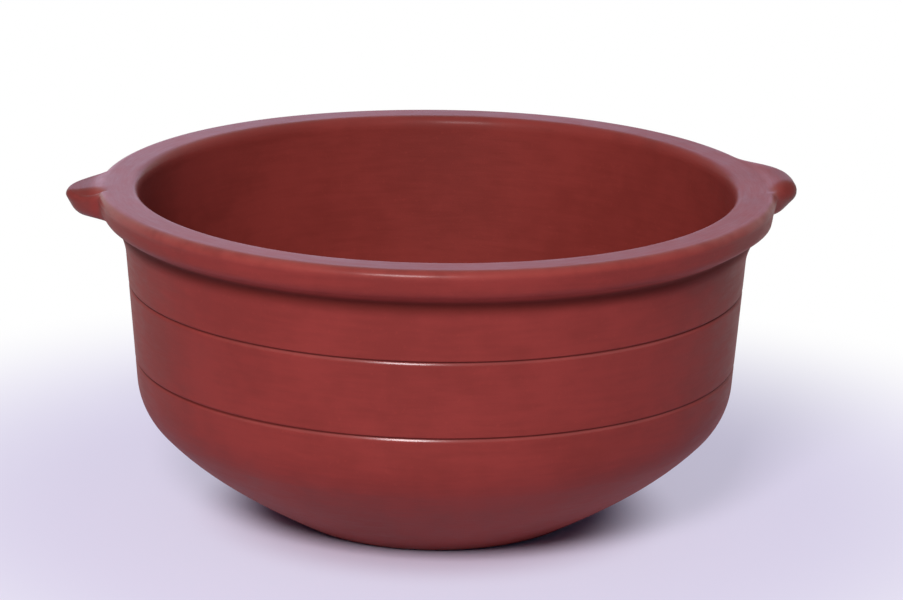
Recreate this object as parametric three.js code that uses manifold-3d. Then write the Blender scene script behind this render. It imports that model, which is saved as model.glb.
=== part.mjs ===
// Clay curry pot: a round bowl on a flat floor, with a straight side, a broad flat rim and two pinched lugs.
// Millimetres, +Z up. The origin is the middle of the flat underside, and the lugs lie along X.
// The clay pieces are shaped one by one and luted together, each across a thin bed of slip.

import * as THREE from 'three';
import { mergeVertices } from 'three/addons/utils/BufferGeometryUtils.js';
import Module from 'manifold-3d';

const radians = THREE.MathUtils.degToRad;

// Overall sizes
const HEIGHT = 125;
const NECK_RADIUS = 115.4;
const FLOOR_RADIUS = 53;
const SLIP_BED = 0.3;

// Bowl: a tapered side over a rounded knuckle, and a full flank that curves in to the floor
const WALL_THICKNESS = 6.4;
const WALL_DRAFT = radians(4.7);
const KNUCKLE_HEIGHT = 52;
const KNUCKLE_RADIUS = 27;
const FLANK_ANGLE = radians(43);
const FOOT_ANGLE = radians(29.5);
const FLOOR_THICKNESS = 8.5;
const FLOOR_INNER_RADIUS = 41;
const SEAT_RISE = 5;

// Lines cut round the side: the lower one runs over the joint of the bowl and the side
const LOWER_GROOVE_RISE = 8.5;
const UPPER_GROOVE_DROP = 21.3;
const GROOVE_WIDTH = 1.5;
const GROOVE_DEPTH = 0.9;

// Rim collar: a flat top, a short tapered face and a sloping underside
const RIM_DEPTH = 14.5;
const RIM_OVERHANG = 9.6;
const RIM_WIDTH = 13.5;
const RIM_FACE = 9.5;
const RIM_TAPER = 1.4;
const RIM_EDGE = 3;
const RIM_HEEL = 2.5;
const LIP_DEPTH = 5;

// Lugs: pinched noses let into the edge of the rim
const LEFT_LUG_REACH = 11.7;
const RIGHT_LUG_REACH = 8.5;
const LUG_HALF_WIDTH = 30;
const LUG_POINTEDNESS = 3;
const LUG_LET_IN = 4;
const NOSE_RADIUS = 2.2;
const NOSE_UNDERCUT = radians(30);
const NOSE_DEPTH = 11.8;
const NOSE_HEEL = 6;

// Webs: wads of clay smeared into the corner under each lug
const WEB_HALF_ANGLE = radians(30);
const WEB_DROP = 8;
const WEB_END_DROP = 3;
const WEB_OVERHANG = 8.2;
const WEB_END_OVERHANG = 2.6;
const WEB_BULGE = 2.6;

// Facets
const TURNS = 80;
const CURVE_STEPS = 6;
const ROUND_STEPS = 4;
const LUG_STEPS = 24;

// Red slip over terracotta: rubbed smoothest on the rim and least under the floor
const RIM_FINISH = { color: 0x8c3a38, roughness: 0.42, metalness: 0 };
const WALL_FINISH = { color: 0x8a3634, roughness: 0.46, metalness: 0 };
const FLOOR_FINISH = { color: 0x7d3330, roughness: 0.62, metalness: 0 };

const point = (radius, height) => new THREE.Vector2(radius, height);
const polar = (length, angle) => point(length * Math.cos(angle), length * Math.sin(angle));
const towards = (from, to, distance) => to.clone().sub(from).setLength(distance).add(from);

/** Points along a round arc about a centre, both ends included. */
function arc(centre, radius, from, to, steps) {
  const curve = new THREE.EllipseCurve(centre.x, centre.y, radius, radius, from, to, from > to);
  return curve.getPoints(steps);
}

/** A corner eased by a curve that starts and ends at the given distance from it. */
function easedCorner(before, corner, after, distance) {
  const start = towards(corner, before, distance);
  const end = towards(corner, after, distance);
  return new THREE.QuadraticBezierCurve(start, corner, end).getPoints(ROUND_STEPS);
}

/** A smooth sweep between two points whose directions of travel are given as angles. */
function sweep(start, startAngle, end, endAngle) {
  const handle = start.distanceTo(end) / 3;
  const leaving = start.clone().add(polar(handle, startAngle));
  const arriving = end.clone().sub(polar(handle, endAngle));
  return new THREE.CubicBezierCurve(start, leaving, arriving, end).getPoints(CURVE_STEPS);
}

/** Evenly spaced angles from minus the spread to plus the spread. */
function fan(spread) {
  return Array.from({ length: LUG_STEPS + 1 }, (_, step) => spread * (2 * step / LUG_STEPS - 1));
}

/** A body turned on the pot's axis from a closed half section. */
function turned(section) {
  return new THREE.LatheGeometry([...section, section[0]], TURNS).rotateX(Math.PI / 2);
}

/** A body lofted through matching half sections, each standing at its own angle about the axis. */
function swung(sections, angles) {
  const count = sections[0].length;
  const last = (sections.length - 1) * count;
  const positions = sections.flatMap((section, row) => section.flatMap((corner) => [
    corner.x * Math.cos(angles[row]),
    corner.x * Math.sin(angles[row]),
    corner.y,
  ]));
  const triangles = [];
  for (let row = 0; row < last; row += count) {
    for (let column = 0; column < count; column += 1) {
      const here = row + column;
      const next = row + (column + 1) % count;
      triangles.push(here, here + count, next);
      triangles.push(next, here + count, next + count);
    }
  }
  for (const [a, b, c] of THREE.ShapeUtils.triangulateShape(sections[0], [])) {
    triangles.push(a, b, c);
  }
  for (const [a, b, c] of THREE.ShapeUtils.triangulateShape(sections.at(-1), [])) {
    triangles.push(last + a, last + c, last + b);
  }
  const geometry = new THREE.BufferGeometry();
  geometry.setAttribute('position', new THREE.Float32BufferAttribute(positions, 3));
  geometry.setIndex(triangles);
  return geometry;
}

const wasm = await Module();
wasm.setup();

/** A geometry as a solid that can be cut. */
function solid(geometry) {
  const bare = geometry.clone();
  bare.deleteAttribute('normal');
  bare.deleteAttribute('uv');
  const merged = mergeVertices(bare);
  const vertProperties = new Float32Array(merged.attributes.position.array);
  const triVerts = new Uint32Array(merged.index.array);
  return new wasm.Manifold(new wasm.Mesh({ numProp: 3, vertProperties, triVerts }));
}

/** A cut solid as a geometry. */
function surface(body) {
  const mesh = body.getMesh();
  const geometry = new THREE.BufferGeometry();
  geometry.setAttribute('position', new THREE.BufferAttribute(mesh.vertProperties, 3));
  geometry.setIndex(new THREE.BufferAttribute(mesh.triVerts, 1));
  geometry.computeVertexNormals();
  return geometry;
}

// The side's outside and inside: two parallel lines that lean with the draft
const neckHeight = HEIGHT - RIM_DEPTH;
const outsideAt = (height) => point(NECK_RADIUS - (neckHeight - height) * Math.tan(WALL_DRAFT), height);
const besideWall = (height, gap) => outsideAt(height).add(point(gap / Math.cos(WALL_DRAFT), 0));
const insideAt = (height) => besideWall(height, -WALL_THICKNESS);

/** A line cut round the wall with a pointed tool: its lower lip, its bottom and its upper lip. */
function groove(height) {
  const reach = GROOVE_WIDTH / 2;
  return [outsideAt(height - reach), besideWall(height, -GROOVE_DEPTH), outsideAt(height + reach)];
}

/** How much higher a piece stands on a cone because of the slip bed between them. */
const bedOver = (outer, inner) => SLIP_BED * outer.distanceTo(inner) / (outer.x - inner.x);

// Floor and bowl meet on a cone, so that the bowl sits down over the disc
const footEdge = point(FLOOR_RADIUS, 0);
const floorEdge = point(FLOOR_INNER_RADIUS, FLOOR_THICKNESS);
const floorBed = SLIP_BED * footEdge.distanceTo(floorEdge) / FLOOR_THICKNESS;

// Bowl, side and rim meet on cones that rise inwards, so that each piece sits down over the one below
const jointHeight = KNUCKLE_HEIGHT + LOWER_GROOVE_RISE;
const bowlTop = { outer: besideWall(jointHeight, -GROOVE_DEPTH), inner: insideAt(jointHeight + SEAT_RISE) };
const sideTop = { outer: outsideAt(neckHeight), inner: insideAt(neckHeight + SEAT_RISE) };
const bowlBed = bedOver(bowlTop.outer, bowlTop.inner);
const rimBed = bedOver(sideTop.outer, sideTop.inner);

function floorDisc() {
  return turned([
    point(0, 0),
    point(FLOOR_RADIUS - floorBed, 0),
    point(FLOOR_INNER_RADIUS - floorBed, FLOOR_THICKNESS),
    point(0, FLOOR_THICKNESS),
  ]);
}

function lowerBowl() {
  const centre = outsideAt(KNUCKLE_HEIGHT).sub(polar(KNUCKLE_RADIUS, -WALL_DRAFT));
  const knuckle = arc(centre, KNUCKLE_RADIUS, -FLANK_ANGLE, -WALL_DRAFT, CURVE_STEPS);
  const hollow = arc(centre, KNUCKLE_RADIUS - WALL_THICKNESS, -WALL_DRAFT, -FLANK_ANGLE, CURVE_STEPS);
  const flankTravel = Math.PI / 2 - FLANK_ANGLE;
  const flank = sweep(footEdge, FOOT_ANGLE, knuckle[0], flankTravel);
  const dish = sweep(hollow.at(-1), flankTravel - Math.PI, floorEdge, -Math.PI);
  const [lip] = groove(jointHeight);
  return turned([...flank, ...knuckle.slice(1), lip, bowlTop.outer, bowlTop.inner, ...hollow, ...dish.slice(1)]);
}

function sideWall() {
  const [, bottom, lip] = groove(jointHeight + bowlBed);
  const upperGroove = groove(neckHeight - UPPER_GROOVE_DROP);
  const foot = insideAt(jointHeight + SEAT_RISE + bowlBed);
  return turned([bottom, lip, ...upperGroove, sideTop.outer, sideTop.inner, foot]);
}

// Rim section: where its sloping underside starts, its heel and its upper edge
const rimRadius = NECK_RADIUS + RIM_OVERHANG;
const undersideStart = point(NECK_RADIUS, neckHeight + rimBed);
const heel = point(rimRadius - RIM_TAPER, HEIGHT - RIM_FACE);
const undersideSlope = (heel.y - undersideStart.y) / (heel.x - undersideStart.x);
const undersideAt = (radius) => point(radius, undersideStart.y + (radius - undersideStart.x) * undersideSlope);
const edge = arc(point(rimRadius - RIM_EDGE, HEIGHT - RIM_EDGE), RIM_EDGE, 0, Math.PI / 2, ROUND_STEPS);
const rimFace = [...easedCorner(undersideStart, heel, edge[0], RIM_HEEL), ...edge];

// Where a lug is let into the edge of the rim
const seatRadius = rimRadius - LUG_LET_IN;
const lugFoot = undersideAt(seatRadius);
const lugSpread = LUG_HALF_WIDTH / rimRadius;

/** The space that a lug takes out of the edge of the rim, with its bed of slip. */
function lugSeat(middle) {
  const inner = seatRadius - SLIP_BED;
  const outer = rimRadius + LUG_LET_IN;
  const top = HEIGHT + LUG_LET_IN;
  const section = [point(inner, neckHeight), point(outer, neckHeight), point(outer, top), point(inner, top)];
  const angles = fan(lugSpread + SLIP_BED / rimRadius).map((turn) => middle + turn);
  return swung(angles.map(() => section), angles);
}

function rimCollar(lugAngles) {
  const lipTop = point(rimRadius - RIM_WIDTH, HEIGHT);
  const lipFoot = insideAt(HEIGHT - LIP_DEPTH);
  const lip = new THREE.QuadraticBezierCurve(lipTop, point(lipFoot.x, HEIGHT), lipFoot);
  const foot = insideAt(neckHeight + SEAT_RISE + rimBed);
  const ring = turned([undersideStart, ...rimFace, ...lip.getPoints(ROUND_STEPS), foot]);
  return surface(lugAngles.reduce((body, angle) => body.subtract(solid(lugSeat(angle))), solid(ring)));
}

/** How far a lug has grown out of the rim at an angle from its middle: 0 at its ends, 1 at its nose. */
function lugGrowth(angle) {
  const share = Math.min(1, Math.abs(angle) / lugSpread);
  return Math.cos(share * Math.PI / 2) ** LUG_POINTEDNESS;
}

/** Rounded tip of a lug, and the corner under it where the undercut meets its flat underside. */
function nose(reach) {
  const centre = point(rimRadius + reach - NOSE_RADIUS, HEIGHT - NOSE_RADIUS);
  const tip = arc(centre, NOSE_RADIUS, -NOSE_UNDERCUT, Math.PI / 2, ROUND_STEPS);
  const underside = HEIGHT - NOSE_DEPTH;
  const corner = point(tip[0].x - (tip[0].y - underside) * Math.tan(NOSE_UNDERCUT), underside);
  return { tip, corner };
}

/** Half section of a lug, which passes from the rim's own edge to the full nose as it grows. */
function lugSection(reach, growth) {
  const { tip, corner } = nose(reach);
  const noseFace = [...easedCorner(lugFoot, corner, tip[0], NOSE_HEEL), ...tip];
  const face = rimFace.map((rimPoint, i) => rimPoint.clone().lerp(noseFace[i], growth));
  return [lugFoot, ...face, point(seatRadius, HEIGHT)];
}

function lug(middle, reach) {
  const turns = fan(lugSpread);
  return swung(turns.map((turn) => lugSection(reach, lugGrowth(turn))), turns.map((turn) => middle + turn));
}

/** Height of what a web reaches up to at a radius: the rim's underside, and past its seat the lug's. */
function ceiling(radius, reach, growth) {
  if (radius < seatRadius) {
    return undersideAt(radius).y;
  }
  const corner = heel.clone().lerp(nose(reach).corner, growth);
  const slope = (corner.y - lugFoot.y) / (corner.x - lugFoot.x);
  return lugFoot.y + Math.min(0, slope) * (radius - lugFoot.x);
}

/** Half section of a web: it fills the corner between the side, the rim's underside and the lug. */
function webSection(reach, angle) {
  const growth = Math.cos(angle / WEB_HALF_ANGLE * Math.PI / 2) ** 2;
  const mix = (end, full) => THREE.MathUtils.lerp(end, full, growth);
  const low = besideWall(neckHeight - mix(WEB_END_DROP, WEB_DROP), SLIP_BED);
  const corner = besideWall(undersideStart.y - rimBed, SLIP_BED);
  const overhang = NECK_RADIUS + mix(WEB_END_OVERHANG, WEB_OVERHANG);
  const outer = point(overhang, ceiling(overhang, reach, lugGrowth(angle)) - rimBed);
  const shelf = (corner.x + Math.min(overhang, seatRadius)) / 2;
  const inner = point(shelf, undersideAt(shelf).y - rimBed);
  const bulge = polar(WEB_BULGE * growth, outer.clone().sub(low).angle() - Math.PI / 2);
  const middle = low.clone().lerp(outer, 1 / 2).add(bulge);
  const skin = new THREE.QuadraticBezierCurve(low, middle, outer).getPoints(ROUND_STEPS);
  return [...skin, inner, corner];
}

function web(middle, reach) {
  const turns = fan(WEB_HALF_ANGLE);
  return swung(turns.map((turn) => webSection(reach, turn)), turns.map((turn) => middle + turn));
}

const RIGHT = 0;
const LEFT = Math.PI;

const pot = new THREE.Group();
pot.name = 'clay_pot';

function place(name, geometry, finish) {
  const mesh = new THREE.Mesh(geometry, new THREE.MeshStandardMaterial(finish));
  mesh.name = name;
  pot.add(mesh);
}

place('floor_disc', floorDisc(), FLOOR_FINISH);
place('lower_bowl', lowerBowl(), WALL_FINISH);
place('side_wall', sideWall(), WALL_FINISH);
place('rim_collar', rimCollar([RIGHT, LEFT]), RIM_FINISH);
place('left_lug', lug(LEFT, LEFT_LUG_REACH), RIM_FINISH);
place('right_lug', lug(RIGHT, RIGHT_LUG_REACH), RIM_FINISH);
place('left_lug_web', web(LEFT, LEFT_LUG_REACH), WALL_FINISH);
place('right_lug_web', web(RIGHT, RIGHT_LUG_REACH), WALL_FINISH);

export default pot;
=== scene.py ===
"""Looks of a burnished clay curry pot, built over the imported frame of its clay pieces.

The outside and the inside of the pot are one continuous skin, worked out from half sections round its axis.
Each clay piece is cut out of that skin and closed with hidden faces, so that the smeared joints don't show.
Half sections are in millimetres, and everything that Blender gets is in metres.
"""

from __future__ import annotations

import logging
import math
from collections.abc import Sequence
from dataclasses import dataclass
from enum import Enum, auto

import bpy
import numpy as np
from mathutils import Matrix, Vector
from mathutils.geometry import interpolate_bezier

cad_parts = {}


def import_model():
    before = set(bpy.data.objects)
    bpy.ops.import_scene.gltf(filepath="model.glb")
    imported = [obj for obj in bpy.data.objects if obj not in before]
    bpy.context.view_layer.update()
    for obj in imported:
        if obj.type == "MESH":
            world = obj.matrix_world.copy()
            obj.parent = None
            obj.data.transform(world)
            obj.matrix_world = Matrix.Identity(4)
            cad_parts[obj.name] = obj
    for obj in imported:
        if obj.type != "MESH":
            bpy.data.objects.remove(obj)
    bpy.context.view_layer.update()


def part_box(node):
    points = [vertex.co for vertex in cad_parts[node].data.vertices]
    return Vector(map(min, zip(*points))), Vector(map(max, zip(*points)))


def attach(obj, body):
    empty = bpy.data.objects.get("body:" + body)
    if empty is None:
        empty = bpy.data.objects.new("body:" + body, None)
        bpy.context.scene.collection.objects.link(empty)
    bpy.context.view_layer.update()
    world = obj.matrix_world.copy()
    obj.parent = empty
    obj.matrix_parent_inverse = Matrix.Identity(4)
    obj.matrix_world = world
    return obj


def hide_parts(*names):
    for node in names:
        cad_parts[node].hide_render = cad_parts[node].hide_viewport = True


log = logging.getLogger("clay_pot")

Colour = tuple[float, float, float]
Point = tuple[float, float, float]
Span = tuple[float, float]
Place = tuple[int, int]
Grid = np.ndarray

MM = 0.001
BODY = "root"
QUARTER_TURN = math.pi / 2
FULL_TURN = 2 * math.pi
WHITE: Colour = (1.0, 1.0, 1.0)
SQUARE_ROOT = 0.5
HANDLE_SHARE = 1 / 3
CORNER_PULL = 2 / 3
SAME_POINT = 1e-4
PLACES_TO_A_METRE = 1e8
NOISE_ROUGHNESS = 0.55
MIX_COLOURS = (6, 7)
MIX_RESULT = 2


def at(radius: float, height: float) -> Vector:
    """Gives a point of the half section."""
    return Vector((radius, height))


def heading(angle: float, length: float) -> Vector:
    """Gives a step of a length in a direction of the half section."""
    return Vector((math.cos(angle), math.sin(angle))) * length


def line(start: Vector, end: Vector, steps: int) -> list[Vector]:
    """Gives the points of a straight stretch, both ends included."""
    return [start.lerp(end, step / steps) for step in range(steps + 1)]


def arc(centre: Vector, radius: float, start: float, end: float, steps: int) -> list[Vector]:
    """Gives the points of a round stretch, both ends included."""
    return [centre + heading(angle, radius) for angle in np.linspace(start, end, steps + 1)]


def sweep(start: Vector, start_angle: float, end: Vector, end_angle: float, steps: int) -> list[Vector]:
    """Joins two points by a smooth curve.

    Args:
        start: First point.
        start_angle: Direction of travel at the first point.
        end: Last point.
        end_angle: Direction of travel at the last point.
        steps: Number of stretches.

    Returns:
        The points of the curve, both ends included.
    """
    reach = (end - start).length * HANDLE_SHARE
    leaving = start + heading(start_angle, reach)
    arriving = end - heading(end_angle, reach)
    return interpolate_bezier(start, leaving, arriving, end, steps + 1)


def bend(start: Vector, corner: Vector, end: Vector, steps: int) -> list[Vector]:
    """Gives the points of a curve that sets off to a corner and arrives from it, both ends included."""
    leaving, arriving = start.lerp(corner, CORNER_PULL), end.lerp(corner, CORNER_PULL)
    return interpolate_bezier(start, leaving, arriving, end, steps + 1)


def eased(before: Vector, corner: Vector, after: Vector, distance: float, steps: int) -> list[Vector]:
    """Rounds a corner.

    Args:
        before: A point on the way to the corner.
        corner: The sharp corner.
        after: A point on the way from the corner.
        distance: How far from the corner the rounding starts and ends.
        steps: Number of stretches.

    Returns:
        The points of the rounding, both ends included.
    """
    start = corner + (before - corner).normalized() * distance
    end = corner + (after - corner).normalized() * distance
    return bend(start, corner, end, steps)


def grid_of(points: Sequence[Vector]) -> Grid:
    """Gives points of the half section as an array, one row for each."""
    return np.array([tuple(point) for point in points])


def smooth_fall(share: Grid, fullness: float) -> Grid:
    """Falls from 1 to 0 as a share goes from 0 to 1, without a corner at its end.

    Args:
        share: How far along the fall is.
        fullness: 0 falls straight from a point, 1 falls slowly from a round top.

    Returns:
        The heights of the fall.
    """
    left = 1 - np.clip(share, 0, 1)
    return left**2 * (1 + 2 * fullness * (1 - left))


def hump(share: Grid) -> Grid:
    """Rises to 1 at the middle of a share from 0 to 1, and falls back to 0."""
    return 4 * share * (1 - share)


class Side(Enum):
    """Where a lug stands: the angle of its middle about the pot's axis."""

    RIGHT = 0.0
    LEFT = math.pi


class Mark(Enum):
    """Rows of the skin at which one clay piece meets the next, from the underside round to the floor."""

    UNDERSIDE_MIDDLE = auto()
    FOOT = auto()
    BOWL_TOP = auto()
    WEB_LOW = auto()
    NECK = auto()
    LUG_LOW = auto()
    HEEL_END = auto()
    EDGE_END = auto()
    LUG_TOP = auto()
    RIM_INSIDE = auto()
    BOWL_INSIDE = auto()
    FLOOR_EDGE = auto()
    FLOOR_MIDDLE = auto()


class Profile:
    """Points of a half section in order, with its marked rows."""

    def __init__(self) -> None:
        """Starts an empty half section."""
        self.points: list[Vector] = []
        self.marks: dict[Mark, int] = {}

    def run(self, points: Sequence[Vector]) -> None:
        """Adds points, leaving out a first one that repeats the last."""
        first = 1 if self.points and (points[0] - self.points[-1]).length < SAME_POINT else 0
        self.points.extend(points[first:])

    def mark(self, mark: Mark) -> None:
        """Names the last row."""
        self.marks[mark] = len(self.points) - 1

    def rows(self, first: Mark, last: Mark) -> slice:
        """Gives the rows from one mark to another, both included."""
        return slice(self.marks[first], self.marks[last] + 1)


@dataclass(frozen=True)
class Wave:
    """A slow wave round the pot: its size, how often it comes round and where it starts."""

    size: float
    count: int
    start: float

    def heights(self, angles: Grid) -> Grid:
        """Gives the wave at angles about the pot's axis."""
        return self.size * np.sin(self.count * angles + self.start)


@dataclass(frozen=True)
class CutLine:
    """A fine line cut round the side, which sways and deepens a little on its way."""

    height: float
    sway: tuple[Wave, Wave]
    deepening: Wave

    def drift(self, angles: Grid) -> Grid:
        """Gives how far the line strays from its height."""
        return sum(wave.heights(angles) for wave in self.sway)

    def strength(self, angles: Grid) -> Grid:
        """Gives the line's depth as a share of its full depth."""
        return 1 - self.deepening.size + self.deepening.heights(angles)


LOWER_LINE = CutLine(
    height=60.5,
    sway=(Wave(size=0.16, count=2, start=0.4), Wave(size=0.09, count=5, start=1.2)),
    deepening=Wave(size=0.14, count=3, start=0.4),
)
UPPER_LINE = CutLine(
    height=89.2,
    sway=(Wave(size=0.16, count=2, start=2.1), Wave(size=0.09, count=5, start=6.3)),
    deepening=Wave(size=0.14, count=3, start=2.1),
)


@dataclass(frozen=True)
class Wobble:
    """How far a hand-made pot strays from round and level, and how the straying fades inwards and down."""

    outward: tuple[Wave, Wave] = (
        Wave(size=0.22, count=2, start=QUARTER_TURN + 0.9),
        Wave(size=0.12, count=3, start=QUARTER_TURN + 2.2),
    )
    upward: tuple[Wave, Wave] = (
        Wave(size=0.16, count=2, start=QUARTER_TURN - 0.5),
        Wave(size=0.08, count=5, start=QUARTER_TURN + 1.3),
    )
    outward_fade: int = 2
    upward_fade: int = 3

    def moves(self, size: Grid, lift: Grid, angles: Grid) -> tuple[Grid, Grid]:
        """Works out the straying.

        Args:
            size: Radius of each row, as a share of the rim's.
            lift: Height of each row, as a share of the rim's.
            angles: Angles about the pot's axis.

        Returns:
            How far each point moves outwards, and how far upwards.
        """
        outward = sum(wave.heights(angles) for wave in self.outward)
        upward = sum(wave.heights(angles) for wave in self.upward)
        return size**self.outward_fade * outward, lift**self.upward_fade * upward


@dataclass(frozen=True)
class Steps:
    """Numbers of stretches along the parts of the half section."""

    underside: int = 4
    foot: int = 8
    flank: int = 14
    knuckle: int = 10
    above_knuckle: int = 3
    groove: int = 16
    between_lines: int = 8
    above_lines: int = 3
    web: int = 6
    neck: int = 6
    rim_underside: int = 4
    rim_heel: int = 6
    rim_face: int = 4
    rim_edge: int = 8
    lug_top: int = 6
    rim_top: int = 5
    lip: int = 10
    rim_inside: int = 2
    side_inside: int = 12
    below_side: int = 4
    dish: int = 14
    floor: int = 6


@dataclass(frozen=True)
class Section:
    """Half section of the plain pot, in millimetres."""

    height: float
    neck_radius: float
    rim_radius: float
    floor_radius: float
    wall: float = 6.4
    draft: float = math.radians(4.7)
    knuckle_height: float = 52.0
    knuckle_radius: float = 27.0
    flank_angle: float = math.radians(43)
    flank_start: float = 3.6
    foot_angle: float = math.radians(29.5)
    foot_ease: float = 3.0
    floor_thickness: float = 8.5
    floor_inner_radius: float = 41.0
    lower_line: CutLine = LOWER_LINE
    upper_line: CutLine = UPPER_LINE
    groove_above: float = 0.36
    groove_below: float = 0.85
    groove_depth: float = 0.62
    groove_reach: float = 2.4
    groove_crowding: float = 0.5
    sway_reach: float = 1.5
    seat_rise: float = 5.3
    rim_depth: float = 14.5
    rim_width: float = 13.5
    rim_face: float = 9.5
    rim_taper: float = 1.4
    rim_edge: float = 3.0
    rim_heel: float = 2.5
    neck_ease: float = 1.1
    lip_depth: float = 6.0
    lip_round: float = 1.8
    lug_let_in: float = 4.0
    web_drop: float = 10.0
    web_bed: float = 0.5
    wobble: Wobble = Wobble()
    steps: Steps = Steps()

    @classmethod
    def from_frame(cls) -> Section:
        """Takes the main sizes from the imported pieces.

        Returns:
            The half section that fits them.
        """
        rim_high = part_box("rim_collar")[1] / MM
        wall_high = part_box("side_wall")[1] / MM
        floor_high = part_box("floor_disc")[1] / MM
        return cls(rim_high.z, wall_high.x, rim_high.y, floor_high.x)

    @property
    def neck(self) -> Vector:
        """The corner where the side meets the rim's underside."""
        return at(self.neck_radius, self.height - self.rim_depth)

    @property
    def heel(self) -> Vector:
        """The corner where the rim's underside meets its face."""
        return at(self.rim_radius - self.rim_taper, self.height - self.rim_face)

    @property
    def seat_radius(self) -> float:
        """The radius at which a lug is let into the rim."""
        return self.rim_radius - self.lug_let_in

    @property
    def knuckle_centre(self) -> Vector:
        """The point that the knuckle is rounded about."""
        return self.outside(self.knuckle_height) - heading(-self.draft, self.knuckle_radius)

    def outside(self, height: float) -> Vector:
        """Gives the point of the side's outside at a height."""
        return at(self.neck.x - (self.neck.y - height) * math.tan(self.draft), height)

    def inside(self, height: float) -> Vector:
        """Gives the point of the side's inside at a height."""
        return self.outside(height) - at(self.wall / math.cos(self.draft), 0)

    def profile(self) -> Profile:
        """Draws the whole half section.

        Returns:
            Its points, from the middle of the underside round to the middle of the floor.
        """
        profile = Profile()
        self._draw_bowl(profile)
        self._draw_side(profile)
        self._draw_rim(profile)
        self._draw_inside(profile)
        return profile

    def _draw_bowl(self, profile: Profile) -> None:
        """Draws the underside, the foot, the flank and the knuckle.

        Args:
            profile: The half section, which is added to.
        """
        steps = self.steps
        middle, foot = at(0, 0), at(self.floor_radius, 0)
        knuckle = arc(self.knuckle_centre, self.knuckle_radius, -self.flank_angle, -self.draft, steps.knuckle)
        flank = sweep(foot, self.foot_angle, knuckle[0], QUARTER_TURN - self.flank_angle, steps.flank)
        rounding = eased(middle, foot, foot + heading(self.foot_angle, 1), self.foot_ease, steps.foot)
        half = steps.foot // 2
        profile.run([middle])
        profile.mark(Mark.UNDERSIDE_MIDDLE)
        profile.run(line(middle, rounding[0], steps.underside))
        profile.run(rounding[: half + 1])
        profile.mark(Mark.FOOT)
        profile.run(rounding[half:])
        profile.run([point for point in flank if (point - foot).length > self.flank_start])
        profile.run(knuckle)

    def _groove(self, cut: CutLine) -> list[Vector]:
        """Gives the rows across a cut line, closest at its middle, whose depth the skin adds.

        Args:
            cut: The cut line.

        Returns:
            Points of the plain side from below the line to above it.
        """
        spacing = np.linspace(-1, 1, self.steps.groove + 1)
        crowded = spacing * np.abs(spacing) ** self.groove_crowding
        return [self.outside(cut.height + self.groove_reach * share) for share in crowded]

    def _draw_side(self, profile: Profile) -> None:
        """Draws the side with rows for its two cut lines, up to the neck.

        Args:
            profile: The half section, which is added to.
        """
        steps = self.steps
        lower, upper = self._groove(self.lower_line), self._groove(self.upper_line)
        half = steps.groove // 2
        profile.run(line(profile.points[-1], lower[0], steps.above_knuckle))
        profile.run(lower[: half + 1])
        profile.mark(Mark.BOWL_TOP)
        profile.run(lower[half:])
        profile.run(line(lower[-1], upper[0], steps.between_lines))
        profile.run(upper)
        web_low = self.outside(self.neck.y - self.web_drop)
        profile.run(line(upper[-1], web_low, steps.above_lines))
        profile.mark(Mark.WEB_LOW)
        rounding = eased(web_low, self.neck, self.heel, self.neck_ease, steps.neck)
        half = steps.neck // 2
        profile.run(line(web_low, rounding[0], steps.web))
        profile.run(rounding[: half + 1])
        profile.mark(Mark.NECK)
        profile.run(rounding[half:])

    def _draw_rim(self, profile: Profile) -> None:
        """Draws the rim's underside, heel, face, edge, top and lip.

        Args:
            profile: The half section, which is added to.
        """
        steps = self.steps
        edge_centre = at(self.rim_radius - self.rim_edge, self.height - self.rim_edge)
        edge = arc(edge_centre, self.rim_edge, 0, QUARTER_TURN, steps.rim_edge)
        heel = eased(self.neck, self.heel, edge[0], self.rim_heel, steps.rim_heel)
        share = (self.seat_radius - self.neck.x) / (self.heel.x - self.neck.x)
        profile.run(line(profile.points[-1], self.neck.lerp(self.heel, share), steps.rim_underside))
        profile.mark(Mark.LUG_LOW)
        profile.run(heel)
        profile.mark(Mark.HEEL_END)
        profile.run(line(heel[-1], edge[0], steps.rim_face))
        profile.run(edge)
        profile.mark(Mark.EDGE_END)
        top = at(self.seat_radius, self.height)
        profile.run(line(edge[-1], top, steps.lug_top))
        profile.mark(Mark.LUG_TOP)
        lip_top = at(self.rim_radius - self.rim_width + self.lip_round, self.height)
        lip_foot = self.inside(self.height - self.lip_depth)
        profile.run(line(top, lip_top, steps.rim_top))
        profile.run(bend(lip_top, at(lip_foot.x, self.height), lip_foot, steps.lip))

    def _draw_inside(self, profile: Profile) -> None:
        """Draws the inside of the side, the hollow of the knuckle, the dish and the floor.

        Args:
            profile: The half section, which is added to.
        """
        steps = self.steps
        rim_inside = self.inside(self.neck.y + self.seat_rise)
        bowl_inside = self.inside(self.lower_line.height + self.seat_rise)
        floor_edge = at(self.floor_inner_radius, self.floor_thickness)
        hollow_radius = self.knuckle_radius - self.wall
        hollow = arc(self.knuckle_centre, hollow_radius, -self.draft, -self.flank_angle, steps.knuckle)
        profile.run(line(profile.points[-1], rim_inside, steps.rim_inside))
        profile.mark(Mark.RIM_INSIDE)
        profile.run(line(rim_inside, bowl_inside, steps.side_inside))
        profile.mark(Mark.BOWL_INSIDE)
        profile.run(line(bowl_inside, hollow[0], steps.below_side))
        profile.run(hollow)
        profile.run(sweep(hollow[-1], -QUARTER_TURN - self.flank_angle, floor_edge, -math.pi, steps.dish))
        profile.mark(Mark.FLOOR_EDGE)
        profile.run(line(floor_edge, at(0, self.floor_thickness), steps.floor))
        profile.mark(Mark.FLOOR_MIDDLE)


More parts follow.
